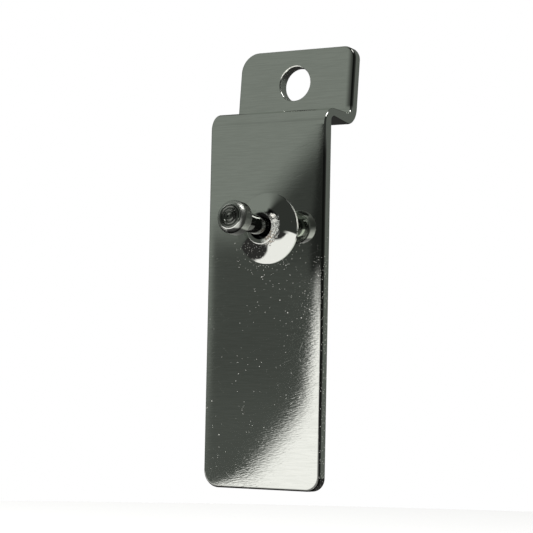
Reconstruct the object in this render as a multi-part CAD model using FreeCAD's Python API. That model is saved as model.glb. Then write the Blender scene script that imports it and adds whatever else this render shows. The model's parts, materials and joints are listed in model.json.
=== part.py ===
import FreeCAD, Part
import math
import os

# Slatwall hook: a steel strip folded in a Z, with a knobbed stud standing on its front.
# Lengths are in mm: X across the strip, -Y out of the front face, +Z up. The shapes are laid
# out from the long plate's front face (y = 0) and the highest point of the folded shoulder
# (z = 0), then moved so that the origin is the middle of the long plate's back face.

# Strip
STRIP_WIDTH = 25.4
SHEET = 2.3
EDGE_ROUND = 0.33
HOLE_ROUND = 0.2

# Long plate and shoulder
PLATE_DROP = 70.8
PLATE_CORNER_LEFT_R = 3.2
PLATE_CORNER_RIGHT_R = 2.5
SHOULDER_OUTER_R = 3.3
SHOULDER_INNER_R = 0.75

# Step from the shoulder back to the heel: the fold stretched it thinner at the shoulder
STEP_TOP_SLOPE = math.radians(3.0)
STEP_UNDER_SLOPE = math.radians(9.0)

# Heel, where the strip turns up into the tab
HEEL_INNER_R = 1.1
HEEL_OUTER_R = HEEL_INNER_R + SHEET

# Tab
TAB_FACE_Y = 9.2
TAB_LEAN = math.radians(5.0)
TAB_LENGTH = 12.9
TAB_CORNER_LEFT_R = 3.8
TAB_CORNER_RIGHT_R = 2.5
TAB_HOLE_R = 3.32
TAB_HOLE_X = -0.15
TAB_HOLE_HEIGHT = 6.25

# Stud
STUD_X = 0.55
STUD_Z = -22.35
STUD_RISE = math.radians(5.8)
STUD_LENGTH = 13.0
KNOB_R = 3.1
KNOB_LENGTH = 3.0
KNOB_FACE_R = 2.1
KNOB_NOSE = 0.85
KNOB_REAR_ROUND = 0.2
SHANK_R = 1.8
TENON_R = 1.3
PEEN_R = 2.1
PEEN_DEPTH = 0.7
CENTRE_PIP_R = 0.42
CENTRE_PIP_DEPTH = 0.16
FACE_RING_R = 1.15
FACE_RING_WIDTH = 0.22
FACE_RING_DEPTH = 0.07

# Flared collar
COLLAR_RIM_R = 6.6
COLLAR_RIM_THICK = 0.22
COLLAR_LIP_R = 3.25
COLLAR_HEIGHT = 2.6
COLLAR_LIP_ROUND = 0.3
COLLAR_SAG = 0.22
MOUTH_R = 2.42
MOUTH_DEPTH = 1.5

# A stretch longer than any part of the hook, for cutting tools
REACH = 4.0 * STRIP_WIDTH

WIDTHWISE = FreeCAD.Vector(1, 0, 0)
OUTWARD = FreeCAD.Vector(0, -1, 0)
STUD_FOOT = FreeCAD.Vector(STUD_X, 0, STUD_Z)
STUD_AXIS = FreeCAD.Vector(0, -math.cos(STUD_RISE), math.sin(STUD_RISE))
TAB_UP = FreeCAD.Vector(0, math.sin(TAB_LEAN), math.cos(TAB_LEAN))
TAB_FRONT = FreeCAD.Vector(0, -math.cos(TAB_LEAN), math.sin(TAB_LEAN))
TAB_ROOT = FreeCAD.Vector(0, TAB_FACE_Y, 0)
BACK_MIDDLE = FreeCAD.Vector(0, SHEET, -PLATE_DROP / 2)


def crossing(point_a, along_a, point_b, along_b):
    """The point where two lines of the side view cross."""
    gap = point_b - point_a
    turn = along_a.y * along_b.z - along_a.z * along_b.y
    reach = (gap.y * along_b.z - gap.z * along_b.y) / turn
    return point_a + along_a * reach


def rounded_corner(corner, along_in, along_out, radius):
    """The arc of a fold: its start, its middle and its end."""
    turn = math.acos(max(-1.0, min(1.0, along_in.dot(along_out))))
    setback = radius * math.tan(turn / 2)
    start = corner - along_in * setback
    end = corner + along_out * setback
    inward = (along_out - along_in).normalize()
    centre = corner + inward * (radius / math.cos(turn / 2))
    middle = centre - inward * radius
    return start, middle, end


def side_outline():
    """The side view of the folded strip: the front line up, the back line down."""
    up = FreeCAD.Vector(0, 0, 1)
    back = FreeCAD.Vector(0, math.cos(STEP_TOP_SLOPE), -math.sin(STEP_TOP_SLOPE))
    under = FreeCAD.Vector(0, -math.sin(STEP_TOP_SLOPE), -math.cos(STEP_TOP_SLOPE))
    back_under = FreeCAD.Vector(0, math.cos(STEP_UNDER_SLOPE), -math.sin(STEP_UNDER_SLOPE))
    crest = FreeCAD.Vector(0, SHOULDER_OUTER_R, 0)
    crest_end = crest + FreeCAD.Vector(
        0, SHOULDER_OUTER_R * math.sin(STEP_TOP_SLOPE), SHOULDER_OUTER_R * (math.cos(STEP_TOP_SLOPE) - 1))
    heel_corner = crossing(crest_end, back, TAB_ROOT, TAB_UP)
    front_foot = FreeCAD.Vector(0, 0, -PLATE_DROP)
    back_foot = FreeCAD.Vector(0, SHEET, -PLATE_DROP)
    step_under = heel_corner + under * SHEET
    tab_back = TAB_ROOT - TAB_FRONT * SHEET
    tip_front = TAB_ROOT + TAB_UP * TAB_LENGTH
    tip_back = tip_front - TAB_FRONT * SHEET

    front = [
        rounded_corner(crossing(front_foot, up, crest_end, back), up, back, SHOULDER_OUTER_R),
        rounded_corner(heel_corner, back, TAB_UP, HEEL_INNER_R),
    ]
    rear = [
        rounded_corner(
            crossing(step_under, back_under, tab_back, TAB_UP), -TAB_UP, -back_under, HEEL_OUTER_R),
        rounded_corner(
            crossing(back_foot, up, step_under, back_under), -back_under, -up, SHOULDER_INNER_R),
    ]
    edges = []
    here = front_foot
    for start, middle, end in front:
        edges.append(Part.makeLine(here, start))
        edges.append(Part.Arc(start, middle, end).toShape())
        here = end
    edges.append(Part.makeLine(here, tip_front))
    edges.append(Part.makeLine(tip_front, tip_back))
    here = tip_back
    for start, middle, end in rear:
        edges.append(Part.makeLine(here, start))
        edges.append(Part.Arc(start, middle, end).toShape())
        here = end
    edges.append(Part.makeLine(here, back_foot))
    edges.append(Part.makeLine(back_foot, front_foot))
    return Part.Wire(Part.__sortEdges__(edges))


def is_corner(edge, level, beyond, side):
    """Whether an edge is a short corner across the sheet on one side, past a level along a direction."""
    first, last = edge.Vertexes[0].Point, edge.Vertexes[-1].Point
    across = abs(first.x - last.x) < EDGE_ROUND and first.dot(side) > STRIP_WIDTH / 2 - EDGE_ROUND
    return across and min(first.dot(beyond), last.dot(beyond)) > level and edge.Length < 2 * SHEET


def corners_rounded(strip, level, beyond, left_radius, right_radius):
    """The strip with the two corners of one end rounded, each to its own radius."""
    for side, radius in ((WIDTHWISE * -1, left_radius), (WIDTHWISE, right_radius)):
        strip = strip.makeFillet(radius, [e for e in strip.Edges if is_corner(e, level, beyond, side)])
    return strip


def stud_hole():
    """The hole for the tenon, and the countersink for its peened end at the back."""
    hole = Part.makeCylinder(TENON_R, REACH, STUD_FOOT - STUD_AXIS * (REACH / 2), STUD_AXIS)
    return hole.fuse(peened_end())


def peened_end():
    """The spread end of the tenon, flush with the back of the plate."""
    exit_depth = SHEET / math.cos(STUD_RISE)
    exit_point = STUD_FOOT - STUD_AXIS * exit_depth
    slack = PEEN_R * math.tan(STUD_RISE)
    flare = (PEEN_R - TENON_R) / PEEN_DEPTH
    start = exit_point + STUD_AXIS * PEEN_DEPTH
    length = PEEN_DEPTH + slack
    return Part.makeCone(TENON_R, TENON_R + flare * length, length, start, STUD_AXIS * -1)


def plate_slab():
    """The space that the thickness of the long plate takes, without an end."""
    corner = FreeCAD.Vector(-REACH / 2, 0, STUD_Z - REACH / 2)
    return Part.makeBox(REACH, SHEET, REACH, corner)


def front_space():
    """All the space in front of the plate."""
    corner = FreeCAD.Vector(-REACH / 2, -REACH, STUD_Z - REACH / 2)
    return Part.makeBox(REACH, REACH, REACH, corner)


def hook_plate():
    """The folded strip, with its rounded corners, the round hole and the hole for the stud."""
    outline = side_outline()
    strip = Part.Face(outline).extrude(WIDTHWISE * STRIP_WIDTH)
    strip.translate(WIDTHWISE * (-STRIP_WIDTH / 2))

    down = FreeCAD.Vector(0, 0, -1)
    foot = PLATE_DROP - EDGE_ROUND
    strip = corners_rounded(strip, foot, down, PLATE_CORNER_LEFT_R, PLATE_CORNER_RIGHT_R)
    tip = (TAB_ROOT + TAB_UP * TAB_LENGTH).dot(TAB_UP) - EDGE_ROUND
    strip = corners_rounded(strip, tip, TAB_UP, TAB_CORNER_LEFT_R, TAB_CORNER_RIGHT_R)

    rim = []
    for face in strip.Faces:
        normal = face.normalAt(0, 0)
        if face.Surface.TypeId == "Part::GeomPlane" and abs(normal.x) > 0.99:
            rim.extend(face.OuterWire.Edges)
    ends = [e for e in strip.Edges if on_end_outline(e)]
    strip = strip.makeFillet(EDGE_ROUND, unique_edges(rim + ends))

    centre = TAB_ROOT + TAB_UP * TAB_HOLE_HEIGHT + WIDTHWISE * TAB_HOLE_X
    strip = strip.cut(Part.makeCylinder(TAB_HOLE_R, REACH, centre - TAB_FRONT * (REACH / 2), TAB_FRONT))
    hole_edges = [
        e for e in strip.Edges
        if e.Curve.TypeId == "Part::GeomCircle" and abs(e.Curve.Radius - TAB_HOLE_R) < EDGE_ROUND / 10
        and e.Curve.Center.z > 0
    ]
    strip = strip.makeFillet(HOLE_ROUND, hole_edges)
    return strip.cut(stud_hole())


def on_end_outline(edge):
    """Whether an edge runs round the bottom of the plate or round the top of the tab."""
    middle = edge.valueAt((edge.FirstParameter + edge.LastParameter) / 2)
    on_front = abs(middle.y) < EDGE_ROUND / 10 or abs(middle.y - SHEET) < EDGE_ROUND / 10
    low = on_front and middle.z < -(PLATE_DROP - PLATE_CORNER_LEFT_R)
    height = (middle - TAB_ROOT).dot(TAB_UP)
    depth = (middle - TAB_ROOT).dot(TAB_FRONT)
    on_tab = abs(depth) < EDGE_ROUND / 10 or abs(depth + SHEET) < EDGE_ROUND / 10
    high = on_tab and height > TAB_LENGTH - TAB_CORNER_LEFT_R
    return low or high


def unique_edges(edges):
    """The edges, each only once."""
    kept = []
    for edge in edges:
        if not any(edge.isSame(other) for other in kept):
            kept.append(edge)
    return kept


def along_stud(radius, height):
    """A point of a turned section: a distance from the stud's axis and a height along it."""
    return FreeCAD.Vector(radius, 0, height)


def turned(edges):
    """A solid turned from the edges of its half section, stood on the stud's foot."""
    wire = Part.Wire(Part.__sortEdges__(edges))
    solid = Part.Face(wire).revolve(FreeCAD.Vector(), FreeCAD.Vector(0, 0, 1), 360)
    solid.Placement = FreeCAD.Placement(STUD_FOOT, FreeCAD.Rotation(FreeCAD.Vector(0, 0, 1), STUD_AXIS))
    return solid


def polyline(points):
    """Straight edges through points, closed."""
    return [Part.makeLine(a, b) for a, b in zip(points, points[1:] + points[:1])]


def knob_stud():
    """The turned stud: knob, shank, tenon through the plate, and its peened end."""
    neck = STUD_LENGTH - KNOB_LENGTH
    shoulder = STUD_LENGTH - KNOB_NOSE
    root = -SHANK_R
    nose_start = along_stud(KNOB_R, shoulder)
    nose_end = along_stud(KNOB_FACE_R, STUD_LENGTH)
    nose_middle = along_stud(
        KNOB_R - (KNOB_R - KNOB_FACE_R) * 0.36, STUD_LENGTH - KNOB_NOSE * 0.36)
    outline = [
        Part.makeLine(along_stud(0, root), along_stud(SHANK_R, root)),
        Part.makeLine(along_stud(SHANK_R, root), along_stud(SHANK_R, neck)),
        Part.makeLine(along_stud(SHANK_R, neck), along_stud(KNOB_R - KNOB_REAR_ROUND, neck)),
        Part.makeLine(along_stud(KNOB_R - KNOB_REAR_ROUND, neck), along_stud(KNOB_R, neck + KNOB_REAR_ROUND)),
        Part.makeLine(along_stud(KNOB_R, neck + KNOB_REAR_ROUND), nose_start),
        Part.Arc(nose_start, nose_middle, nose_end).toShape(),
    ]
    face = [
        nose_end,
        along_stud(FACE_RING_R + FACE_RING_WIDTH / 2, STUD_LENGTH),
        along_stud(FACE_RING_R, STUD_LENGTH - FACE_RING_DEPTH),
        along_stud(FACE_RING_R - FACE_RING_WIDTH / 2, STUD_LENGTH),
        along_stud(CENTRE_PIP_R, STUD_LENGTH),
        along_stud(0, STUD_LENGTH - CENTRE_PIP_DEPTH),
        along_stud(0, root),
    ]
    outline.extend(Part.makeLine(a, b) for a, b in zip(face, face[1:]))
    shank = turned(outline).common(front_space())
    tenon = Part.makeCylinder(TENON_R, REACH, STUD_FOOT - STUD_AXIS * (REACH / 2), STUD_AXIS)
    through = tenon.fuse(peened_end()).common(plate_slab())
    return shank.fuse(through).removeSplitter()


def flared_collar():
    """The flared collar: a thin rim square on the plate, a lip, and a mouth round the shank."""
    middle_r = (COLLAR_RIM_R + COLLAR_LIP_R) / 2
    middle_h = (COLLAR_RIM_THICK + COLLAR_HEIGHT - COLLAR_LIP_ROUND) / 2 - COLLAR_SAG
    lip_side = along_stud(COLLAR_LIP_R, COLLAR_HEIGHT - COLLAR_LIP_ROUND)
    lip_top = along_stud(COLLAR_LIP_R - COLLAR_LIP_ROUND, COLLAR_HEIGHT)
    lip_bend = COLLAR_LIP_ROUND * (1 - math.sqrt(0.5))
    outline = [
        Part.makeLine(along_stud(0, 0), along_stud(COLLAR_RIM_R, 0)),
        Part.makeLine(along_stud(COLLAR_RIM_R, 0), along_stud(COLLAR_RIM_R, COLLAR_RIM_THICK)),
        Part.Arc(
            along_stud(COLLAR_RIM_R, COLLAR_RIM_THICK), along_stud(middle_r, middle_h), lip_side).toShape(),
        Part.Arc(
            lip_side, along_stud(COLLAR_LIP_R - lip_bend, COLLAR_HEIGHT - lip_bend), lip_top).toShape(),
        Part.makeLine(lip_top, along_stud(0, COLLAR_HEIGHT)),
        Part.makeLine(along_stud(0, COLLAR_HEIGHT), along_stud(0, 0)),
    ]
    wire = Part.Wire(Part.__sortEdges__(outline))
    body = Part.Face(wire).revolve(FreeCAD.Vector(), FreeCAD.Vector(0, 0, 1), 360)
    body.Placement = FreeCAD.Placement(STUD_FOOT, FreeCAD.Rotation(FreeCAD.Vector(0, 0, 1), OUTWARD))
    bore = Part.makeCylinder(SHANK_R, REACH, STUD_FOOT - STUD_AXIS * (REACH / 2), STUD_AXIS)
    mouth_floor = STUD_FOOT + STUD_AXIS * (COLLAR_HEIGHT - MOUTH_DEPTH)
    mouth = Part.makeCylinder(MOUTH_R, REACH, mouth_floor, STUD_AXIS)
    return body.cut(bore).cut(mouth)


os.makedirs("parts", exist_ok=True)
for name, shape in (
    ("hook_plate", hook_plate()),
    ("knob_stud", knob_stud()),
    ("flared_collar", flared_collar()),
):
    shape.translate(BACK_MIDDLE * -1)
    shape.exportStep("parts/" + name + ".step")
    print(name, "solids", len(shape.Solids), "valid", shape.isValid(), "volume", round(shape.Volume, 2))
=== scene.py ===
"""Dresses the slatwall hook in bright chrome plate and stands it in a small photo studio.

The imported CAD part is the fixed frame: the folded plate, the knobbed stud and the flared
collar keep their places and sizes, and this script gives them their finish, their studio
surroundings and the camera. Lengths are in metres, with sizes written in millimetres.
"""

import json
import logging
import math
from dataclasses import dataclass, replace
from enum import Enum
from functools import reduce

import bpy
from mathutils import Matrix, Vector

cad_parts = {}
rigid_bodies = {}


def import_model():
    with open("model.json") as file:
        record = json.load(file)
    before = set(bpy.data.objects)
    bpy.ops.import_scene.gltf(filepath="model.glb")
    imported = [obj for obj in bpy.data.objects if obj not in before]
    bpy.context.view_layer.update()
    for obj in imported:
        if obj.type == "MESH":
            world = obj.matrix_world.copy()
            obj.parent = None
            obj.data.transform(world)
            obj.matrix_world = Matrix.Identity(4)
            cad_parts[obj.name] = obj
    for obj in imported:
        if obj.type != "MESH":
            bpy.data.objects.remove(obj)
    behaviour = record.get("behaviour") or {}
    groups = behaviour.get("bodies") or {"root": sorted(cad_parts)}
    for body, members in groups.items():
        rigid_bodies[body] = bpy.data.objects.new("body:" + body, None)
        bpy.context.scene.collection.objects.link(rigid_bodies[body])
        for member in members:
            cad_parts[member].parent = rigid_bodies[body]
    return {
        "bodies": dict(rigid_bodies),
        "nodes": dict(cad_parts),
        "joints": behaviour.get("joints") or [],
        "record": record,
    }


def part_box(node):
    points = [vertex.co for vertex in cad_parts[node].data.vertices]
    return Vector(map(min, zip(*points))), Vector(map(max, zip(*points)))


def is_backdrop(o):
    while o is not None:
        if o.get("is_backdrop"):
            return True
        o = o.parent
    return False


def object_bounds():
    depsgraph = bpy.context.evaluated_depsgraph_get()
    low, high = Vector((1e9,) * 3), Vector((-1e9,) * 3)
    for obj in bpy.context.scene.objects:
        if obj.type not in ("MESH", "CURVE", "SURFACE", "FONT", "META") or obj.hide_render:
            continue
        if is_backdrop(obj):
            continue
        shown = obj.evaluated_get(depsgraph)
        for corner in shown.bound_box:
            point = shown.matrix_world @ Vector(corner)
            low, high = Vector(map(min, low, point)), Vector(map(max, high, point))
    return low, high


LOG = logging.getLogger("slatwall_hook")
MM = 0.001
PER_MM = 1000.0
IMAGE_SIDE = 533
SENSOR_MM = 36.0

Triple = tuple[float, float, float]
Colour = Triple
# Where a smooth step starts and ends, and the same with the results before and after it.
Span = tuple[float, float]
Step = tuple[float, float, float, float]
Socket = bpy.types.NodeSocket

PAPER: Colour = (1.0, 0.972, 0.958)
WHITE: Colour = (1.0, 1.0, 1.0)
GREY_TINT: Colour = (0.935, 1.0, 0.912)


def rgba(colour: Colour) -> tuple[float, float, float, float]:
    """Returns the colour with full opacity."""
    return (*colour, 1.0)


def grey(level: float) -> Colour:
    """Returns the studio's faintly green grey at a level."""
    return tuple(part * level for part in GREY_TINT)


def mount_named(frame: dict, name: str) -> dict:
    """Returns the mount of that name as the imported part's record gives it."""
    return next(mount for mount in frame["record"]["mounts"] if mount["name"] == name)


@dataclass(frozen=True)
class RoundPlace:
    """A point on the axis of a round form, and how steeply the axis rises towards the front."""

    middle: Triple
    rise: float

    @classmethod
    def of_mount(cls, frame: dict, name: str) -> "RoundPlace":
        """Takes the place of a mount.

        Args:
            frame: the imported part.
            name: the mount's name.

        Returns:
            The place, with the mount's point as its middle.
        """
        mount = mount_named(frame, name)
        axis = Vector(mount["axis"]).normalized()
        return cls(tuple(mount["pos_m"]), math.atan2(axis.z, -axis.y))

    @classmethod
    def of_stud(cls, frame: dict) -> "RoundPlace":
        """Finds where the stud comes out of the plate's front face.

        Args:
            frame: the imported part.

        Returns:
            The place.
        """
        knob = mount_named(frame, "knob_barrel")
        middle, axis = Vector(knob["pos_m"]), Vector(knob["axis"]).normalized()
        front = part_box("hook_plate")[0].y
        foot = middle - axis * ((middle.y - front) / axis.y)
        return replace(cls.of_mount(frame, "knob_barrel"), middle=tuple(foot))


@dataclass(frozen=True)
class AxisView:
    """The surface's place as seen along an axis, in millimetres, as sockets.

    The vector has X to the right and Z up, along runs towards the front, and radius is how
    far the place lies from the axis.
    """

    vector: Socket
    right: Socket
    up: Socket
    along: Socket
    radius: Socket


@dataclass(frozen=True)
class Zone:
    """A stretch of a surface, bounded by smooth steps in the view along an axis.

    Each step goes from 0 at its first number to 1 at its second, in millimetres.
    """

    right: Span | None = None
    up: Span | None = None
    along: Span | None = None
    radius: Span | None = None

    def mask(self, board: "NodeBoard", view: AxisView) -> Socket:
        """Adds the zone.

        Args:
            board: the material's board.
            view: the surface's place as seen along the axis.

        Returns:
            A value of 1 in the zone and 0 beside it.
        """
        places = (view.right, view.up, view.along, view.radius)
        steps = (self.right, self.up, self.along, self.radius)
        return board.product(*(board.ramp(place, *step) for place, step in zip(places, steps) if step))


class NodeBoard:
    """A material's or a world's node tree, with short ways to add nodes to it."""

    def __init__(self, tree: bpy.types.NodeTree) -> None:
        """Clears a node tree to build on.

        Args:
            tree: the node tree of a material or of the world.
        """
        self.tree = tree
        tree.nodes.clear()

    def add(self, kind: str, **values: object) -> bpy.types.Node:
        """Adds a node and sets its values.

        Args:
            kind: the node's type name.
            values: attributes of the node, or its inputs by name with underscores for spaces.

        Returns:
            The new node.
        """
        node = self.tree.nodes.new(kind)
        for key, value in values.items():
            if hasattr(node, key):
                setattr(node, key, value)
            else:
                self.feed(node.inputs[key.replace("_", " ")], value)
        return node

    def feed(self, socket: Socket, value: object) -> None:
        """Gives an input a link from another socket, or a constant.

        Args:
            socket: the input.
            value: a socket to link from, or the input's value.
        """
        if isinstance(value, bpy.types.NodeSocket):
            self.tree.links.new(value, socket)
        else:
            socket.default_value = value

    def show(self, shader: Socket, kind: str = "ShaderNodeOutputMaterial") -> None:
        """Adds the output of that kind and gives it the shader."""
        self.add(kind, Surface=shader)

    def glow(self, colour: object, strength: object = 1.0) -> Socket:
        """Adds an even glow of a colour and a strength, and returns its shader."""
        return self.add("ShaderNodeEmission", Color=colour, Strength=strength).outputs["Emission"]

    def maths(self, operation: str, *values: object) -> Socket:
        """Adds a Math node.

        Args:
            operation: the operation's name.
            values: its inputs, as sockets or numbers.

        Returns:
            The node's result.
        """
        node = self.add("ShaderNodeMath", operation=operation)
        for socket, value in zip(node.inputs, values):
            self.feed(socket, value)
        return node.outputs[0]

    def product(self, *values: object) -> Socket:
        """Returns the product of any number of sockets or numbers."""
        return reduce(lambda first, second: self.maths("MULTIPLY", first, second), values)

    def most(self, *values: object) -> Socket:
        """Returns the greatest of any number of sockets or numbers."""
        return reduce(lambda first, second: self.maths("MAXIMUM", first, second), values)

    def reach(self, first: Socket, second: Socket) -> Socket:
        """Returns the long side over a right angle between two short ones."""
        square = self.maths("MULTIPLY_ADD", second, second, self.maths("MULTIPLY", first, first))
        return self.maths("SQRT", square)

    def ramp(self, value: Socket, low: float, high: float, start: object = 0.0, end: object = 1.0) -> Socket:
        """Adds a smooth step.

        Args:
            value: the driving value.
            low: where the step starts.
            high: where the step ends.
            start: the result up to low.
            end: the result past high.

        Returns:
            The step's result.
        """
        node = self.add("ShaderNodeMapRange", interpolation_type="SMOOTHSTEP", Value=value)
        for name, number in (("From Min", low), ("From Max", high), ("To Min", start), ("To Max", end)):
            self.feed(node.inputs[name], number)
        return node.outputs["Result"]

    def fall(self, value: Socket, low: float, high: float) -> Socket:
        """Adds a smooth step down, from 1 up to low to 0 past high."""
        return self.ramp(value, low, high, 1.0, 0.0)

    def blend(self, amount: object, first: object, second: object) -> Socket:
        """Adds a colour mix.

        Args:
            amount: how much of the second colour shows.
            first: the first colour.
            second: the second colour.

        Returns:
            The mixed colour.
        """
        node = self.add("ShaderNodeMix", data_type="RGBA", Factor=amount)
        colours = [socket for socket in node.inputs if socket.type == "RGBA"]
        for socket, colour in zip(colours, (first, second)):
            self.feed(socket, rgba(colour) if isinstance(colour, tuple) else colour)
        return next(socket for socket in node.outputs if socket.type == "RGBA")

    def noise(self, vector: Socket, scale: float, detail: float, roughness: float = 0.5) -> Socket:
        """Adds a cloudy pattern.

        Args:
            vector: the coordinates that it lies in.
            scale: how fine it is.
            detail: how many finer layers it has.
            roughness: how strong the finer layers are.

        Returns:
            The pattern, about 0.5 on average.
        """
        node = self.add("ShaderNodeTexNoise", Vector=vector, Scale=scale, Detail=detail, Roughness=roughness)
        return node.outputs["Fac"]

    def bump(self, height: Socket, size_mm: float, under: Socket | None = None) -> Socket:
        """Adds relief on top of a normal.

        Args:
            height: the relief, from 0 to 1.
            size_mm: how far it stands up, or sinks in where it is below 0.
            under: the normal that it lies on, or None for the bare surface.

        Returns:
            The new normal.
        """
        distance = abs(size_mm) * MM
        node = self.add("ShaderNodeBump", invert=size_mm < 0, Height=height, Strength=1.0, Distance=distance)
        if under is not None:
            self.feed(node.inputs["Normal"], under)
        return node.outputs["Normal"]

    def coordinates(self) -> Socket:
        """Adds the surface's own coordinates, in metres."""
        return self.add("ShaderNodeTexCoord").outputs["Object"]

    def axes(self, vector: Socket) -> tuple[Socket, Socket, Socket]:
        """Returns a vector's X, Y and Z."""
        return tuple(self.add("ShaderNodeSeparateXYZ", Vector=vector).outputs)

    def placed(self, scale: Triple = (1.0, 1.0, 1.0), turn: float = 0.0) -> Socket:
        """Adds the surface's own coordinates, in millimetres times a scale.

        Args:
            scale: how many times finer the pattern is along each axis, per millimetre.
            turn: a turn of the pattern about the Y axis, in radians.

        Returns:
            The coordinates.
        """
        turned = self.add("ShaderNodeMapping", Vector=self.coordinates(), Rotation=(0.0, turn, 0.0))
        size = tuple(PER_MM * part for part in scale)
        return self.add("ShaderNodeMapping", Vector=turned.outputs["Vector"], Scale=size).outputs["Vector"]

    def seen_along(self, place: RoundPlace) -> AxisView:
        """Adds the surface's place as seen along an axis.

        Args:
            place: where the axis lies.

        Returns:
            The view.
        """
        local = self.add(
            "ShaderNodeMapping", vector_type="TEXTURE", Vector=self.coordinates(), Location=place.middle,
            Rotation=(-place.rise, 0.0, 0.0), Scale=(MM, MM, MM))
        vector = local.outputs["Vector"]
        right, back, up = self.axes(vector)
        return AxisView(vector, right, up, self.maths("MULTIPLY", back, -1.0), self.reach(right, up))


def new_material(name: str) -> tuple[bpy.types.Material, NodeBoard]:
    """Makes an empty material.

    Args:
        name: its name.

    Returns:
        The material and its board.
    """
    made = bpy.data.materials.new(name)
    made.use_nodes = True
    return made, NodeBoard(made.node_tree)


class Lay(Enum):
    """The way that the fine polishing lines run, as lines per millimetre along each axis."""

    ACROSS_STRIP = (0.9, 3.0, 4.6)
    ROUND_STUD = (0.8, 7.0, 0.8)


@dataclass(frozen=True)
class ChromePlate:
    """Bright chrome over polished steel, with the marks of polishing and of handling."""

    name: str
    lay: Lay
    stud: RoundPlace
    colour: Colour = (0.80, 0.83, 0.785)
    roughness: float = 0.03
    cloud: Step = (0.35, 0.75, 1.0, 1.25)
    wave_height_mm: float = 0.0006
    line_height_mm: float = 0.0028
    line_turn: float = 0.16
    line_low_mm: Step = (-8.0, 6.0, 1.0, 0.2)
    line_left_mm: Step = (-8.0, -3.0, 0.3, 1.0)
    scratch_scale: Triple = (0.16, 0.16, 4.5)
    scratch_turns: tuple[Span, ...] = ((0.35, 0.735), (-0.75, 0.75), (1.25, 0.76))
    scratch_edge: Span = (-0.05, 0.02)
    scratch_roughness: float = 0.04
    scratch_height_mm: float = -0.0002
    speck_share: float = 0.18
    speck_cells: tuple[Span, ...] = ((1.7, 0.18), (4.6, 0.25), (3.0, 0.20))
    speck_core: float = 0.6
    speck_colour: Colour = (0.78, 0.77, 0.71)
    speck_dullness: float = 0.85
    speck_roughness: float = 0.5
    speck_height_mm: float = 0.004
    dust_top_mm: Span = (6.0, 12.0)
    dust_edge_mm: Span = (9.0, 12.0)
    dust_ring_mm: Span = (6.5, 10.5)
    dust_patch: Step = (0.40, 0.68, 0.04, 0.30)
    dust_right_mm: Step = (-9.0, 9.0, 0.4, 1.6)

    def material(self) -> bpy.types.Material:
        """Builds the finish as a material.

        Returns:
            The material.
        """
        made, board = new_material(self.name)
        specks = self.specks(board)
        scratches = self.scratches(board)
        overlay = board.maths("MULTIPLY_ADD", scratches, self.scratch_roughness, self.clouded(board))
        shader = board.add(
            "ShaderNodeBsdfPrincipled",
            Specular_IOR_Level=0.5,
            Base_Color=board.blend(specks, self.tint(board), self.speck_colour),
            Metallic=board.maths("MULTIPLY_ADD", specks, -self.speck_dullness, 1.0),
            Roughness=board.most(overlay, board.product(specks, self.speck_roughness)),
            Normal=self.relief(board, scratches, specks),
        )
        board.show(shader.outputs["BSDF"])
        return made

    def tint(self, board: NodeBoard) -> object:
        """Returns the colour of the plating, or a socket with it, for a board."""
        return self.colour

    def clouded(self, board: NodeBoard) -> Socket:
        """Adds the plating's slightly uneven gloss.

        Args:
            board: the material's board.

        Returns:
            The roughness.
        """
        low, high, least, greatest = self.cloud
        cloud = board.noise(board.placed(), 0.22, 3.0)
        return board.ramp(cloud, low, high, self.roughness * least, self.roughness * greatest)

    def scratches(self, board: NodeBoard) -> Socket:
        """Adds fine straight scratches in three directions.

        Args:
            board: the material's board.

        Returns:
            A value of 1 in a scratch and 0 beside it.
        """
        streaks = []
        low, high = self.scratch_edge
        for turn, share in self.scratch_turns:
            streak = board.noise(board.placed(self.scratch_scale, turn), 1.0, 2.0)
            streaks.append(board.ramp(streak, share + low, share + high))
        return board.most(*streaks)

    def specks(self, board: NodeBoard) -> Socket:
        """Adds small pale specks of dust and of pitted plating.

        Args:
            board: the material's board.

        Returns:
            A value of 1 on a speck and 0 beside it.
        """
        share = board.product(self.dusty(board), self.speck_share)
        layers = []
        for density, reach in self.speck_cells:
            place = board.placed((density, density, density))
            cells = board.add("ShaderNodeTexVoronoi", Vector=place, Scale=1.0)
            dot = board.fall(cells.outputs["Distance"], reach * self.speck_core, reach)
            draw = board.add("ShaderNodeSeparateColor", Color=cells.outputs["Color"]).outputs[0]
            layers.append(board.product(dot, board.maths("LESS_THAN", draw, share)))
        return board.most(*layers)

    def dusty(self, board: NodeBoard) -> Socket:
        """Adds where dust has gathered: low on the plate, by its right edge and round the collar.

        Args:
            board: the material's board.

        Returns:
            How many specks lie there, and 0 where the chrome is clean.
        """
        place = board.placed()
        right, _, up = board.axes(place)
        low = board.fall(up, *self.dust_top_mm)
        edge = board.product(low, board.ramp(right, *self.dust_edge_mm))
        patch = board.ramp(board.noise(place, 0.13, 2.0), *self.dust_patch)
        patches = board.product(low, patch, board.ramp(right, *self.dust_right_mm))
        beside = board.product(board.fall(board.seen_along(self.stud).radius, *self.dust_ring_mm), low)
        return board.most(patches, edge, beside)

    def relief(self, board: NodeBoard, scratches: Socket, specks: Socket) -> Socket:
        """Adds the faint waves of the plating, the polishing lines and the marks.

        Args:
            board: the material's board.
            scratches: where the scratches are.
            specks: where the specks are.

        Returns:
            The surface's normal.
        """
        lines = board.noise(board.placed(self.lay.value, self.line_turn), 1.0, 2.0)
        right, _, up = board.axes(board.placed())
        depth = board.product(board.ramp(up, *self.line_low_mm), board.ramp(right, *self.line_left_mm))
        normal = board.bump(board.noise(board.placed(), 0.30, 1.5), self.wave_height_mm)
        normal = board.bump(board.product(lines, depth), self.line_height_mm, normal)
        normal = board.bump(scratches, self.scratch_height_mm, normal)
        return board.bump(specks, self.speck_height_mm, normal)


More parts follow.
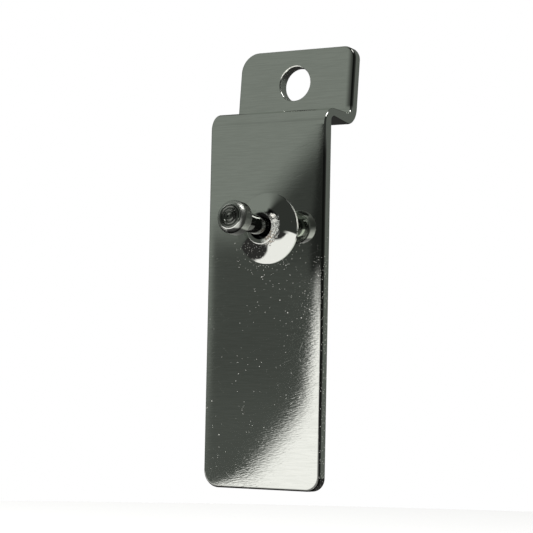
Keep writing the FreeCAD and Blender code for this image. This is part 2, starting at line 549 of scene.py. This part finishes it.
@dataclass(frozen=True, kw_only=True)
class FoldedChrome(ChromePlate):
    """Chrome on the folded strip, with painted shade along the edges of the tab and of the long plate.

    The first sizes are taken from the part: half the strip's width, where the plate's front
    lies along Y and its foot along Z, and the tab's hole.
    """

    half_width_mm: float
    front_mm: float
    foot_mm: float
    hole: RoundPlace
    hole_radius_mm: float
    sheet_mm: float = 2.3
    corner_mm: float = 2.9
    bore_roughness: float = 0.34
    bore_past_mm: Span = (0.03, 0.12)
    bore_back_mm: Span = (-2.0, -1.6)
    # Bounds of a painted highlight: a pale arc on the upper left of the hole's front rim.
    hole_highlight_from_mm: Span = (0.04, 0.09)
    hole_highlight_to_mm: Span = (0.20, 0.24)
    hole_highlight_front_mm: Span = (0.8, 1.0)
    hole_highlight_right_mm: Span = (0.4, 1.4)
    hole_highlight_up_mm: Step = (0.8, 1.6, 0.0, 0.9)
    brushed_colour: Colour = (0.73, 0.76, 0.715)
    brush_scale: Triple = (0.22, 3.0, 4.2)
    brush_share: Span = (0.35, 0.65)
    # Colour of the painted shade along the tab's and the plate's edges, in place of the dark reflection in
    # their rounding.
    edge_shade_colour: Colour = (0.17, 0.175, 0.165)
    edge_shade_depth_mm: float = 0.62
    edge_shade_blur_mm: float = 0.1
    tab_edge_in_mm: Span = (1.6, 0.3)
    tab_edge_up_mm: Span = (36.0, 36.8)
    foot_edge_mm: Span = (0.2, 1.0)
    foot_rim_in_mm: Span = (0.45, 0.3)
    side_edge_mm: Span = (6.0, 8.0)
    side_top_mm: Span = (26.0, 31.0)

    def clouded(self, board: NodeBoard) -> Socket:
        """Adds the dull wall of the punched hole to the plating's gloss.

        Args:
            board: the material's board.

        Returns:
            The roughness.
        """
        view = board.seen_along(self.hole)
        low, high = (self.hole_radius_mm + past for past in self.bore_past_mm)
        bore = board.product(board.fall(view.radius, low, high), board.ramp(view.along, *self.bore_back_mm))
        return board.maths("MULTIPLY_ADD", bore, self.bore_roughness, super().clouded(board))

    def specks(self, board: NodeBoard) -> Socket:
        """Adds a painted highlight, a pale arc on the upper left of the hole's front rim, to the specks.

        Args:
            board: the material's board.

        Returns:
            A value of 1 on a speck or on the painted highlight and 0 beside them.
        """
        view = board.seen_along(self.hole)
        inner = (self.hole_radius_mm + past for past in self.hole_highlight_from_mm)
        outer = (self.hole_radius_mm + past for past in self.hole_highlight_to_mm)
        # Painted highlight: the hole's rim is drawn pale on its upper left.
        hole_highlight = board.product(
            board.ramp(view.radius, *inner),
            board.ramp(view.along, *self.hole_highlight_front_mm),
            board.fall(view.radius, *outer),
            board.fall(view.right, *self.hole_highlight_right_mm),
            board.ramp(view.up, *self.hole_highlight_up_mm),
        )
        return board.most(super().specks(board), hole_highlight)

    def tint(self, board: NodeBoard) -> Socket:
        """Adds the plating's colour, faintly streaked, with painted shade along the edges.

        Args:
            board: the material's board.

        Returns:
            The colour.
        """
        # Painted shade: dark bands along the edges of the tab and of the long plate.
        overlay = board.most(self.tab_edge_shade(board), self.plate_edge_shade(board))
        brush = board.noise(board.placed(self.brush_scale), 1.0, 4.0, 0.65)
        brushed = board.blend(board.ramp(brush, *self.brush_share), self.colour, self.brushed_colour)
        return board.blend(overlay, brushed, self.edge_shade_colour)

    def tab_edge_shade(self, board: NodeBoard) -> Socket:
        """Adds the painted shade along the edge that runs up the right side of the tab's front.

        Args:
            board: the material's board.

        Returns:
            A value of 1 on the worn edge and 0 beside it.
        """
        right, _, up = board.axes(board.placed())
        side = (self.half_width_mm - inside for inside in self.tab_edge_in_mm)
        end = self.sheet_mm / 2 - self.edge_shade_depth_mm
        return board.product(
            board.ramp(right, *side),
            board.ramp(board.seen_along(self.hole).along, end - self.edge_shade_blur_mm, end + self.edge_shade_blur_mm),
            board.ramp(up, *self.tab_edge_up_mm),
        )

    def plate_edge_shade(self, board: NodeBoard) -> Socket:
        """Adds the painted shade along the edge round the foot and up the right side of the long plate's
        front.

        Args:
            board: the material's board.

        Returns:
            A value of 1 on the worn edge and 0 beside it.
        """
        right, back, up = board.axes(board.placed())
        across = board.maths("ABSOLUTE", right)
        beside = board.most(board.maths("SUBTRACT", across, self.half_width_mm - self.corner_mm), 0.0)
        below = board.most(board.maths("SUBTRACT", self.foot_mm + self.corner_mm, up), 0.0)
        rim = (self.corner_mm - inside for inside in self.foot_rim_in_mm)
        end = self.front_mm + self.edge_shade_depth_mm
        return board.product(
            board.ramp(board.reach(below, beside), *rim),
            board.most(board.ramp(below, *self.foot_edge_mm), board.ramp(right, *self.side_edge_mm)),
            board.fall(back, end - 1.5 * self.edge_shade_blur_mm, end),
            board.fall(up, *self.side_top_mm),
        )


@dataclass(frozen=True)
class TurnedChrome(ChromePlate):
    """Chrome on the turned stud: satin round the knob, and dark tool marks on its face."""

    side: Zone = Zone(along=(9.85, 10.1), radius=(2.36, 2.42))
    side_colour: Colour = (0.57, 0.60, 0.56)
    side_roughness: float = 0.33
    # Painted shade: dark patches over the top of the knob's side and under it.
    shade_over: Zone = Zone(right=(0.2, 0.6), up=(2.0, 2.25), along=(11.55, 11.15))
    shade_under: Zone = Zone(right=(-0.7, -0.2), up=(-2.05, -2.35))
    barrel_shade_colour: Colour = (0.05, 0.052, 0.05)
    # Painted shade: the shank is darkened as well.
    shank_front_mm: Span = (9.45, 9.65)
    shank_foot_mm: Span = (-0.6, -0.2)
    shank_shade_colour: Colour = (0.12, 0.125, 0.118)
    face: Zone = Zone(along=(12.65, 12.75), radius=(2.25, 2.1))
    face_colour: Colour = (0.17, 0.18, 0.165)
    face_roughness: float = 0.10
    ring_pitch_mm: float = 0.62
    ring_height_mm: float = 0.06
    ring_waver: float = 3.0
    peened: Zone = Zone(along=(-1.6, -1.9), radius=(1.8, 1.7))
    peened_colour: Colour = (0.42, 0.44, 0.41)
    peened_roughness: float = 0.16
    peened_height_mm: float = 0.10

    def tint(self, board: NodeBoard) -> Socket:
        """Adds the plating's colour: greyer on the knob's side, with painted shade over its top and under
        it, darker on its face, and painted shade on the shank.

        Args:
            board: the material's board.

        Returns:
            The colour.
        """
        view = board.seen_along(self.stud)
        # Painted shade on the shank and on the top and underside of the knob's side.
        shank = board.product(
            board.fall(view.along, *self.shank_front_mm), board.ramp(view.along, *self.shank_foot_mm))
        barrel_shade = board.most(self.shade_over.mask(board, view), self.shade_under.mask(board, view))
        side = board.blend(barrel_shade, self.side_colour, self.barrel_shade_colour)
        tone = board.blend(shank, self.colour, self.shank_shade_colour)
        tone = board.blend(self.side.mask(board, view), tone, side)
        tone = board.blend(self.peened.mask(board, view), tone, self.peened_colour)
        return board.blend(self.face.mask(board, view), tone, self.face_colour)

    def clouded(self, board: NodeBoard) -> Socket:
        """Adds the gloss: satin on the knob's side, and duller on its face and the peened end.

        Args:
            board: the material's board.

        Returns:
            The roughness.
        """
        view = board.seen_along(self.stud)
        rough = board.product(self.side.mask(board, view), self.side_roughness)
        rough = board.maths("ADD", rough, self.roughness)
        for zone, more in ((self.peened, self.peened_roughness), (self.face, self.face_roughness)):
            rough = board.maths("MULTIPLY_ADD", zone.mask(board, view), more, rough)
        return rough

    def relief(self, board: NodeBoard, scratches: Socket, specks: Socket) -> Socket:
        """Adds the tool's rings on the knob's face and the hammer's dents to the plain marks.

        Args:
            board: the material's board.
            scratches: where the scratches are.
            specks: where the specks are.

        Returns:
            The surface's normal.
        """
        plain = super().relief(board, scratches, specks)
        view = board.seen_along(self.stud)
        turns = board.maths("DIVIDE", view.radius, self.ring_pitch_mm / math.tau)
        waver = board.noise(view.vector, 1.3, 2.0)
        ring = board.maths("SINE", board.maths("MULTIPLY_ADD", waver, self.ring_waver, turns))
        turned = board.bump(board.product(ring, self.face.mask(board, view)), self.ring_height_mm, plain)
        blows = board.product(board.noise(view.vector, 1.5, 1.0), self.peened.mask(board, view))
        return board.bump(blows, self.peened_height_mm, turned)


@dataclass(frozen=True)
class CollarChrome(ChromePlate):
    """Chrome on the flared collar: crinkled and bright at the lip, with painted shade in the mouth and on
    the throat.
    """

    # Painted shade: the mouth round the shank is near black.
    mouth: Zone = Zone(radius=(2.5, 2.45))
    mouth_shade_colour: Colour = (0.03, 0.031, 0.03)
    # Painted shade: the throat over the lip is darkened.
    throat: Zone = Zone(right=(0.9, 1.6), up=(0.9, 1.4), radius=(3.9, 3.4))
    throat_shade_colour: Colour = (0.05, 0.052, 0.05)
    lip_mm: Span = (2.6, 3.0)
    lip_foot_mm: Span = (1.0, 1.4)
    lip_right_mm: Span = (0.0, 1.6)
    lip_top_mm: float = 1.5
    lip_ragged_mm: float = -1.6
    lip_roughness: float = 0.22
    crinkle_mm: float = 0.045
    rust_colour: Colour = (0.36, 0.27, 0.19)
    rust_share: Span = (0.50, 0.56)
    rust_up_mm: Span = (-1.0, -0.4)
    frost_share: Step = (0.36, 0.68, 0.2, 0.65)
    frost_top_mm: float = 2.6
    # Painted highlight: a pale stretch on the upper right of the rim.
    rim_highlight: Zone = Zone(right=(3.6, 4.4), up=(-1.0, 0.6), radius=(6.56, 6.6))
    grime_up_mm: Step = (-3.6, -2.4, 1.0, 0.05)
    grime_right_mm: Step = (-0.5, 2.5, 2.2, 0.3)

    def specks(self, board: NodeBoard) -> Socket:
        """Adds a painted highlight on the upper right stretch of the rim, and the frosted lip, to the
        specks.

        Args:
            board: the material's board.

        Returns:
            A value of 1 on a speck or on the painted rim highlight, less on the lip, and 0 beside them.
        """
        view = board.seen_along(self.stud)
        frost = board.ramp(board.noise(view.vector, 3.2, 4.0), *self.frost_share)
        pits = board.product(frost, self.lip(board, self.frost_top_mm))
        # The rim's painted highlight joins the specks here.
        return board.most(super().specks(board), self.rim_highlight.mask(board, view), pits)

    def dusty(self, board: NodeBoard) -> Socket:
        """Adds where dust and grime have gathered: on the lower left of the flare."""
        view = board.seen_along(self.stud)
        return board.product(
            board.ramp(view.up, *self.grime_up_mm), board.ramp(view.right, *self.grime_right_mm))

    def lip(self, board: NodeBoard, top_mm: float) -> Socket:
        """Adds the crinkled lip with a ragged border.

        Args:
            board: the material's board.
            top_mm: how far above the stud's middle the lip reaches.

        Returns:
            A value of 1 on the lip and 0 beside it.
        """
        view = board.seen_along(self.stud)
        ragged = board.noise(view.vector, 1.6, 3.0)
        edge = board.maths("MULTIPLY_ADD", ragged, self.lip_ragged_mm, view.radius)
        return board.product(
            board.fall(edge, *self.lip_mm),
            board.ramp(view.right, *self.lip_right_mm),
            board.fall(view.up, top_mm - 1.0, top_mm),
            board.ramp(view.along, *self.lip_foot_mm),
        )

    def tint(self, board: NodeBoard) -> Socket:
        """Adds the colour: rusty bits on the lip, painted shade on the throat over it, and painted shade in
        the mouth.

        Args:
            board: the material's board.

        Returns:
            The colour.
        """
        view = board.seen_along(self.stud)
        rust = board.product(
            board.ramp(board.noise(view.vector, 2.2, 3.0), *self.rust_share),
            board.fall(view.up, *self.rust_up_mm),
            self.lip(board, self.lip_top_mm),
        )
        tone = board.blend(rust, self.colour, self.rust_colour)
        # Painted shade on the throat and in the mouth.
        tone = board.blend(self.throat.mask(board, view), tone, self.throat_shade_colour)
        return board.blend(self.mouth.mask(board, view), tone, self.mouth_shade_colour)

    def clouded(self, board: NodeBoard) -> Socket:
        """Returns the roughness, which is greater on the lip."""
        return board.maths(
            "MULTIPLY_ADD", self.lip(board, self.lip_top_mm), self.lip_roughness, self.roughness)

    def relief(self, board: NodeBoard, scratches: Socket, specks: Socket) -> Socket:
        """Adds the lip's crinkles to the plain marks.

        Args:
            board: the material's board.
            scratches: where the scratches are.
            specks: where the specks are.

        Returns:
            The surface's normal.
        """
        plain = super().relief(board, scratches, specks)
        crinkle = board.noise(board.seen_along(self.stud).vector, 4.5, 3.0)
        return board.bump(board.product(crinkle, self.lip(board, self.lip_top_mm)), self.crinkle_mm, plain)


@dataclass
class DressedPiece:
    """A CAD node that keeps its shape and gets a finish of its own."""

    node: str

    def finish(self, frame: dict) -> ChromePlate:
        """Returns the piece's finish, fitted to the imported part."""
        raise NotImplementedError

    def dress(self, frame: dict) -> bpy.types.Object:
        """Gives the piece its finish in place of the plain one.

        Args:
            frame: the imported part.

        Returns:
            The dressed piece.
        """
        piece = frame["nodes"][self.node]
        piece.data.materials.clear()
        piece.data.materials.append(self.finish(frame).material())
        return piece


@dataclass
class HookPlate(DressedPiece):
    """The folded strip: long plate, shoulder, step, heel and tab."""

    node: str = "hook_plate"

    def finish(self, frame: dict) -> ChromePlate:
        """Returns the folded strip's chrome, fitted to the plate's box and to the tab's hole."""
        low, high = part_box("hook_plate")
        return FoldedChrome(
            "plate_chrome",
            Lay.ACROSS_STRIP,
            RoundPlace.of_stud(frame),
            half_width_mm=high.x * PER_MM,
            front_mm=low.y * PER_MM,
            foot_mm=low.z * PER_MM,
            hole=RoundPlace.of_mount(frame, "tab_hole"),
            hole_radius_mm=mount_named(frame, "tab_hole")["dims"]["r_mm"],
        )


@dataclass
class KnobStud(DressedPiece):
    """The turned stud: knob, shank and the peened tenon."""

    node: str = "knob_stud"
    wave_height_mm: float = 0.0008
    speck_share: float = 0.05

    def finish(self, frame: dict) -> ChromePlate:
        """Returns the turned chrome, fitted to the stud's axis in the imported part."""
        return TurnedChrome(
            "stud_chrome", Lay.ROUND_STUD, RoundPlace.of_stud(frame),
            wave_height_mm=self.wave_height_mm, speck_share=self.speck_share)


@dataclass
class FlaredCollar(DressedPiece):
    """The flared collar round the foot of the stud."""

    node: str = "flared_collar"
    wave_height_mm: float = 0.0012
    speck_share: float = 0.12

    def finish(self, frame: dict) -> ChromePlate:
        """Returns the collar's chrome, fitted to the stud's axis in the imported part."""
        return CollarChrome(
            "collar_chrome", Lay.ROUND_STUD, RoundPlace.of_stud(frame),
            wave_height_mm=self.wave_height_mm, speck_share=self.speck_share)


@dataclass
class StudioCard:
    """A flat panel of one tone, seen only in the chrome, with its angles in degrees."""

    name: str
    bearing: float
    elevation: float
    distance: float
    width: float
    height: float
    tone: Colour = PAPER
    strength: float = 1.0

    def build(self) -> bpy.types.Object:
        """Builds the card, facing the hook.

        Returns:
            The card.
        """
        half_w, half_h = self.width / 2, self.height / 2
        corners = [(-half_w, -half_h, 0), (half_w, -half_h, 0), (half_w, half_h, 0), (-half_w, half_h, 0)]
        card = flat_piece(self.name, corners)
        card.matrix_world = self.stance()
        card.data.materials.append(self.material())
        hide_from_camera(card)
        card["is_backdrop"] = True
        return card

    def stance(self) -> Matrix:
        """Returns the card's place: its back to the studio and its face to the hook."""
        turn = Matrix.Rotation(math.radians(self.bearing), 4, "Z")
        turn = turn @ Matrix.Rotation(math.radians(-self.elevation), 4, "X")
        return turn @ Matrix.Translation((0.0, -self.distance, 0.0)) @ Matrix.Rotation(math.pi / 2, 4, "X")

    def material(self) -> bpy.types.Material:
        """Builds the card's even glow.

        Returns:
            The material.
        """
        made, board = new_material(self.name)
        board.show(board.glow(rgba(self.tone), self.strength))
        return made


def flat_piece(name: str, corners: list[Triple]) -> bpy.types.Object:
    """Makes a flat piece of the studio with one face.

    Args:
        name: its name.
        corners: the face's corners, in order.

    Returns:
        The piece.
    """
    mesh = bpy.data.meshes.new(name)
    mesh.from_pydata(corners, [], [tuple(range(len(corners)))])
    piece = bpy.data.objects.new(name, mesh)
    bpy.context.scene.collection.objects.link(piece)
    return piece


def hide_from_camera(piece: bpy.types.Object) -> None:
    """Leaves a piece of the studio to reflections alone."""
    piece.visible_camera = piece.visible_diffuse = False
    piece.visible_shadow = piece.visible_transmission = False


@dataclass
class SweepWall(StudioCard):
    """The wall that the long plate mirrors: grey above, a dark band, and a white sweep of paper.

    Its tones are laid out by the places on the wall, in millimetres from its middle, with
    right towards the camera's side and up towards the ceiling.
    """

    upper_grey: float = 0.235
    dark_band: float = 0.068
    deep_tone: float = 0.050
    foot_tone: float = 0.084
    gap_tone: float = 0.018
    white_sweep: float = 1.09
    dark_top_mm: float = 43.0
    dark_turn_mm: float = -7.0
    dark_climb: float = 1.25
    dark_blur_mm: Span = (-11.0, 11.0)
    deep_right_mm: Span = (3.0, 13.0)
    deep_up_mm: Span = (24.0, 40.0)
    foot_up_mm: Span = (-34.0, 0.0)
    side_right_mm: Span = (-20.0, -17.5)
    side_up_mm: Step = (-60.0, 30.0, 0.15, 1.0)
    gap_edge_mm: float = 18.7
    gap_turn_mm: float = 44.0
    gap_climb: float = 0.09
    gap_blur_mm: Span = (-0.8, 0.5)
    gap_up_mm: Span = (22.0, 30.0)
    gap_far_mm: Span = (21.9, 22.7)
    gap_far_up_mm: Span = (6.0, 18.0)
    paper_edge_mm: float = 20.0
    paper_most_mm: float = 21.0
    paper_lean: float = 0.1
    paper_swing_mm: Step = (-60.0, -17.0, 20.0, 0.0)
    paper_blur_mm: Step = (-38.0, -8.0, 5.0, 1.0)
    paper_foot_blur: Step = (-52.0, -44.0, 0.5, 1.0)
    paper_far_mm: Span = (22.0, 22.8)
    paper_top_mm: Span = (16.0, 33.0)
    wedge_top_mm: float = -48.6
    wedge_climb: float = 0.30
    wedge_blur_mm: Span = (-0.4, 0.4)
    wedge_right_mm: Span = (-18.0, -16.0)

    def material(self) -> bpy.types.Material:
        """Builds the wall's tones.

        Returns:
            The material.
        """
        made, board = new_material(self.name)
        right, up, _ = board.axes(board.placed())
        climb = board.most(board.maths("SUBTRACT", right, self.dark_turn_mm), 0.0)
        top = board.maths("MULTIPLY_ADD", climb, self.dark_climb, self.dark_top_mm)
        upper = board.ramp(board.maths("SUBTRACT", up, top), *self.dark_blur_mm)
        deep = board.product(board.ramp(right, *self.deep_right_mm), board.ramp(up, *self.deep_up_mm))
        side = board.product(board.fall(right, *self.side_right_mm), board.ramp(up, *self.side_up_mm))
        paper = board.most(self.sweep(board, right, up), self.wedge(board, right, up))
        tone = board.blend(board.fall(up, *self.foot_up_mm), grey(self.dark_band), grey(self.foot_tone))
        tone = board.blend(deep, tone, grey(self.deep_tone))
        tone = board.blend(upper, tone, grey(self.upper_grey))
        tone = board.blend(self.gap(board, right, up), tone, grey(self.gap_tone))
        tone = board.blend(side, tone, grey(self.upper_grey))
        tone = board.blend(paper, tone, PAPER)
        board.show(board.glow(tone, board.maths("MULTIPLY_ADD", paper, self.white_sweep - 1.0, 1.0)))
        return made

    def gap(self, board: NodeBoard, right: Socket, up: Socket) -> Socket:
        """Adds the black gap between the wall and the paper, which narrows as it climbs.

        Args:
            board: the material's board.
            right: the place to the right, in mm.
            up: the place upwards, in mm.

        Returns:
            A value of 1 in the gap and 0 beside it.
        """
        climb = board.most(board.maths("SUBTRACT", up, self.gap_turn_mm), 0.0)
        limit = board.maths("MULTIPLY_ADD", climb, self.gap_climb, self.gap_edge_mm)
        past = board.ramp(board.maths("SUBTRACT", right, limit), *self.gap_blur_mm)
        above = board.product(past, board.ramp(up, *self.gap_up_mm))
        beside = board.product(board.ramp(right, *self.gap_far_mm), board.ramp(up, *self.gap_far_up_mm))
        return board.most(above, beside)

    def sweep(self, board: NodeBoard, right: Socket, up: Socket) -> Socket:
        """Adds the white paper: its edge runs down at the right and swings away to the left.

        Args:
            board: the material's board.
            right: the place to the right, in mm.
            up: the place upwards, in mm.

        Returns:
            A value of 1 on the paper and 0 beside it.
        """
        straight = board.maths("MULTIPLY_ADD", up, self.paper_lean, self.paper_edge_mm)
        straight = board.maths("MINIMUM", straight, self.paper_most_mm)
        swung = board.maths("SUBTRACT", straight, board.ramp(up, *self.paper_swing_mm))
        inside = board.maths("SUBTRACT", right, swung)
        blur = board.product(board.ramp(up, *self.paper_blur_mm), board.ramp(up, *self.paper_foot_blur))
        share = board.ramp(board.maths("DIVIDE", inside, blur), -1.0, 1.0)
        thin = board.ramp(right, *self.paper_far_mm, 1.0, board.fall(up, *self.gap_far_up_mm))
        return board.product(share, thin, board.fall(up, *self.paper_top_mm))

    def wedge(self, board: NodeBoard, right: Socket, up: Socket) -> Socket:
        """Adds the thin white wedge that the paper sends out to the left along its foot."""
        top = board.maths("MULTIPLY_ADD", right, self.wedge_climb, self.wedge_top_mm)
        return board.product(
            board.ramp(board.maths("SUBTRACT", top, up), *self.wedge_blur_mm),
            board.ramp(right, *self.wedge_right_mm),
        )


@dataclass
class StudioDome:
    """The room round the studio, seen only in the chrome.

    It is dark, with a grey ceiling on the left, white paper low in front and a dim back wall
    on the right. Its zones are bearings to the right and rises above the level, in degrees.
    """

    radius: float = 0.9
    dark: float = 0.035
    ceiling: float = 0.235
    left_wall: float = 0.10
    back_wall: float = 0.128
    left_near: Span = (-52.0, -8.0)
    left_far: Span = (-150.0, -125.0)
    left_rise: Span = (-14.0, -4.0)
    ceiling_rise: Span = (5.0, 28.0)
    back_right: Span = (104.0, 124.0)
    back_left: Span = (-168.0, -158.0)
    back_rise: Span = (-48.0, -26.0)
    paper_right: Span = (22.0, 38.0)
    paper_left: Span = (-38.0, -32.0)
    paper_rise: Span = (-4.0, -2.0)

    def build(self) -> bpy.types.Object:
        """Builds the room as a round shell.

        Returns:
            The shell.
        """
        bpy.ops.mesh.primitive_uv_sphere_add(segments=48, ring_count=24, radius=self.radius)
        dome = bpy.context.object
        dome.name = "studio_dome"
        dome.data.materials.append(self.material())
        hide_from_camera(dome)
        dome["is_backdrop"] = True
        return dome

    def material(self) -> bpy.types.Material:
        """Builds the room's tones by the direction that each part lies in.

        Returns:
            The material.
        """
        made, board = new_material("studio_dome")
        right, back, up = board.axes(board.coordinates())
        ahead = board.maths("MULTIPLY", back, -1.0)
        bearing = board.maths("DEGREES", board.maths("ARCTAN2", right, ahead))
        rise = board.maths("DEGREES", board.maths("ARCSINE", board.maths("DIVIDE", up, self.radius)))
        left = board.product(board.fall(bearing, *self.left_near), board.ramp(bearing, *self.left_far))
        wall = board.product(left, board.ramp(rise, *self.left_rise))
        ceiling = board.product(left, board.ramp(rise, *self.ceiling_rise))
        behind = board.most(board.ramp(bearing, *self.back_right), board.fall(bearing, *self.back_left))
        behind = board.product(behind, board.ramp(rise, *self.back_rise))
        paper = board.product(
            board.fall(bearing, *self.paper_right),
            board.ramp(bearing, *self.paper_left),
            board.fall(rise, *self.paper_rise),
        )
        tone = board.blend(wall, grey(self.dark), grey(self.left_wall))
        tone = board.blend(ceiling, tone, grey(self.ceiling))
        tone = board.blend(behind, tone, grey(self.back_wall))
        board.show(board.glow(board.blend(paper, tone, PAPER)))
        return made


@dataclass
class Floor:
    """The pale floor under the hook: it takes the shadow, and shows white in the chrome."""

    drop: float = 0.026
    radius: float = 0.42
    colour: Colour = (0.88, 0.88, 0.87)
    dim: float = 0.03
    segments: int = 96
    paper_left_mm: Span = (26.0, 36.0)
    paper_left_slope: float = 0.38
    paper_right_mm: Span = (0.0, 20.0)
    paper_right_slope: float = -0.53
    paper_near_mm: Span = (28.0, 42.0)

    def build(self, under: float) -> bpy.types.Object:
        """Builds the floor below the hook.

        Args:
            under: the height of the hook's lowest point.

        Returns:
            The floor.
        """
        turns = (math.tau * step / self.segments for step in range(self.segments))
        rim = [(self.radius * math.cos(turn), self.radius * math.sin(turn), 0.0) for turn in turns]
        floor = flat_piece("floor", rim)
        floor.location = (0.0, 0.0, under - self.drop)
        floor.data.materials.append(self.material())
        floor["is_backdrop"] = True
        return floor

    def material(self) -> bpy.types.Material:
        """Builds the floor's matt white, with the paper in it for the chrome alone.

        Returns:
            The material.
        """
        made, board = new_material("floor")
        path = board.add("ShaderNodeLightPath")
        mix = board.add("ShaderNodeMixShader")
        matt = board.add("ShaderNodeBsdfDiffuse", Color=rgba(self.colour))
        board.feed(mix.inputs[0], path.outputs["Is Glossy Ray"])
        board.feed(mix.inputs[1], matt.outputs["BSDF"])
        board.feed(mix.inputs[2], board.glow(rgba(PAPER), self.paper(board)))
        board.show(mix.outputs["Shader"])
        return made

    def paper(self, board: NodeBoard) -> Socket:
        """Adds the white paper that the chrome mirrors: a wedge that opens in front of the hook.

        Args:
            board: the material's board.

        Returns:
            The paper's glow, with the dim floor round it.
        """
        across, back, _ = board.axes(board.placed())
        ahead = board.maths("MULTIPLY", back, -1.0)
        left_edge = board.maths("MULTIPLY_ADD", across, self.paper_left_slope, ahead)
        right_edge = board.maths("MULTIPLY_ADD", ahead, self.paper_right_slope, across)
        share = board.product(
            board.ramp(left_edge, *self.paper_left_mm),
            board.fall(right_edge, *self.paper_right_mm),
            board.ramp(ahead, *self.paper_near_mm),
        )
        return board.maths("MULTIPLY_ADD", share, 1.0 - self.dim, self.dim)


@dataclass
class Studio:
    """The white surroundings, the cards round the hook, the lamps and the floor."""

    lamp_power: float = 4.0
    lamp_size: float = 0.35
    left_lamp: Triple = (-0.5, -0.45, 0.55)
    right_lamp: Triple = (0.55, -0.35, 0.45)
    room_light: float = 0.75

    def build(self, under: float) -> None:
        """Builds the whole studio.

        Args:
            under: the height of the hook's lowest point.
        """
        self.white_world()
        StudioDome().build()
        Floor().build(under)
        for card in self.cards():
            card.build()
        self.lamp("left_lamp", self.left_lamp)
        self.lamp("right_lamp", self.right_lamp)

    def cards(self) -> list[StudioCard]:
        """Returns the cards that the chrome mirrors."""
        return [
            SweepWall("sweep_wall", bearing=-32.7, elevation=0.0, distance=0.401, width=0.28, height=0.52),
            StudioCard(
                "top_light", bearing=62.0, elevation=64.0, distance=0.5, width=0.30, height=0.16,
                strength=5.0),
        ]

    def white_world(self) -> None:
        """Makes the background white to the camera and to mirrors, and softer as a light."""
        world = bpy.data.worlds.new("studio_white")
        bpy.context.scene.world = world
        world.use_nodes = True
        board = NodeBoard(world.node_tree)
        path = board.add("ShaderNodeLightPath")
        rays = ("Is Camera Ray", "Is Glossy Ray", "Is Transmission Ray")
        seen = board.most(*(path.outputs[ray] for ray in rays))
        level = board.maths("MULTIPLY_ADD", seen, 1.0 - self.room_light, self.room_light)
        back = board.add("ShaderNodeBackground", Color=rgba(WHITE), Strength=level)
        board.show(back.outputs["Background"], "ShaderNodeOutputWorld")

    def lamp(self, name: str, place: Triple) -> None:
        """Adds a soft lamp that faces the hook and stays out of the mirrors.

        Args:
            name: its name.
            place: where it stands.
        """
        data = bpy.data.lights.new(name, "AREA")
        data.size = self.lamp_size
        data.energy = self.lamp_power
        lamp = bpy.data.objects.new(name, data)
        bpy.context.scene.collection.objects.link(lamp)
        lamp.location = place
        lamp.rotation_euler = (-Vector(place)).to_track_quat("-Z", "Y").to_euler()
        lamp.visible_glossy = False


@dataclass
class PhotoCamera:
    """The camera of the photograph: to the right of the hook, in front of it and a little low."""

    place_mm: Triple = (207.48, -325.29, -16.93)
    turn: float = 0.57
    tilt: float = 0.0596
    roll: float = 0.0203
    focal_px: float = 2064.1
    clip: Span = (0.01, 10.0)

    def build(self) -> bpy.types.Object:
        """Makes the camera the scene's camera.

        Returns:
            The camera.
        """
        data = bpy.data.cameras.new("photo_camera")
        data.sensor_width = SENSOR_MM
        data.lens = self.focal_px / IMAGE_SIDE * SENSOR_MM
        data.clip_start, data.clip_end = self.clip
        camera = bpy.data.objects.new("photo_camera", data)
        bpy.context.scene.collection.objects.link(camera)
        stance = Matrix.Rotation(self.turn, 4, "Z") @ Matrix.Rotation(math.pi / 2 + self.tilt, 4, "X")
        stance = stance @ Matrix.Rotation(self.roll, 4, "Z")
        camera.matrix_world = Matrix.Translation(Vector(self.place_mm) * MM) @ stance
        bpy.context.scene.camera = camera
        return camera


def main() -> None:
    """Dresses the hook, builds the studio and the camera, and reports each piece."""
    logging.basicConfig(level=logging.INFO, format="%(name)s: %(message)s")
    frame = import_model()
    cad_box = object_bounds()
    bpy.context.scene.view_settings.view_transform = "Standard"
    for assembly in (HookPlate(), KnobStud(), FlaredCollar()):
        piece = assembly.dress(frame)
        LOG.info("%s dressed in %s", piece.name, piece.active_material.name)
    Studio().build(cad_box[0].z)
    PhotoCamera().build()


if __name__ == "__main__":
    main()
